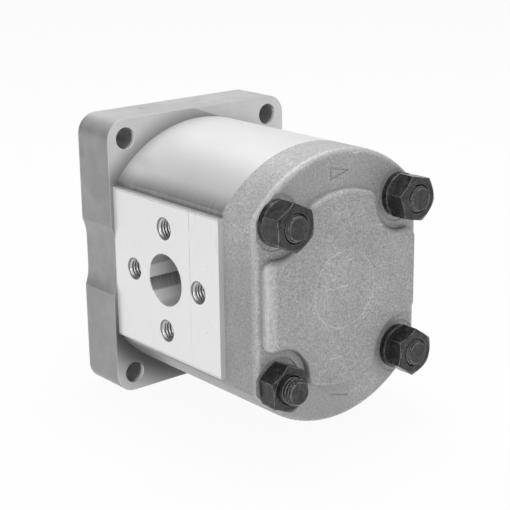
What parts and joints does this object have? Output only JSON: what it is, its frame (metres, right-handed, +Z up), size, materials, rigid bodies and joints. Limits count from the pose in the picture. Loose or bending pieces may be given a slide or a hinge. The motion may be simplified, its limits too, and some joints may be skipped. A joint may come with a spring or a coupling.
{
  "type": "hydraulic pump",
  "caption": "External gear pump: flanged aluminium housing with two side ports, a rear cover held by tie studs, and a tapered, keyed drive shaft.",
  "frame": {"origin": "centre of the pilot on the mounting face", "axes": "+Y along the drive shaft and out of the mounting face, +Z up along the flange's long axis with the drive gear above the driven gear, -X out of the inlet port"},
  "size_m": [0.088, 0.1549, 0.1116],
  "materials": {
    "flange": "machined and blasted",
    "housing": "drawn, with machined port pads",
    "cover": "blasted casting",
    "gear_steel": "ground",
    "bearing_block": "machined",
    "bush": "plain bearing layer",
    "seal": "moulded",
    "backup_ring": "moulded",
    "seal_case": "coated",
    "seal_spring": "drawn wire",
    "circlip": "black phosphate",
    "dowel": "ground",
    "studs": "black oxide",
    "washers": "black oxide",
    "nuts": "black oxide",
    "key": "ground",
    "shaft_washer": "black oxide",
    "shaft_nut": "black oxide"
  },
  "bodies": {
    "pump_body": {"front_flange": "flange", "gear_housing": "housing", "rear_cover": "cover", "front_bearing_block": "bearing_block", "rear_bearing_block": "bearing_block", "front_drive_bush": "bush", "front_driven_bush": "bush", "rear_drive_bush": "bush", "rear_driven_bush": "bush", "front_pressure_seal": "seal", "rear_pressure_seal": "seal", "front_backup_rings": "backup_ring", "rear_backup_rings": "backup_ring", "front_body_seal": "seal", "rear_body_seal": "seal", "shaft_seal_case": "seal_case", "shaft_seal_lip": "seal", "shaft_seal_spring": "seal_spring", "seal_circlip": "circlip", "front_dowels": "dowel", "rear_dowels": "dowel", "tie_studs": "studs", "stud_washers": "washers", "stud_nuts": "nuts"},
    "drive_shaft": {"drive_gear_shaft": "gear_steel", "woodruff_key": "key", "shaft_washer": "shaft_washer", "shaft_nut": "shaft_nut"},
    "driven_gear": {"driven_gear_shaft": "gear_steel"}
  },
  "joints": [
    {"name": "drive_shaft_spin", "type": "hinge", "parent": "pump_body", "child": "drive_shaft", "pos_m": [0, 0, 0], "axis": [0, 1, 0], "continuous": true},
    {"name": "driven_gear_spin", "type": "hinge", "parent": "pump_body", "child": "driven_gear", "pos_m": [0, 0, -0.0312], "axis": [0, 1, 0], "continuous": true}
  ],
  "couplings": [
    {"joint": "driven_gear_spin", "follows": "drive_shaft_spin", "ratio": -1}
  ]
}
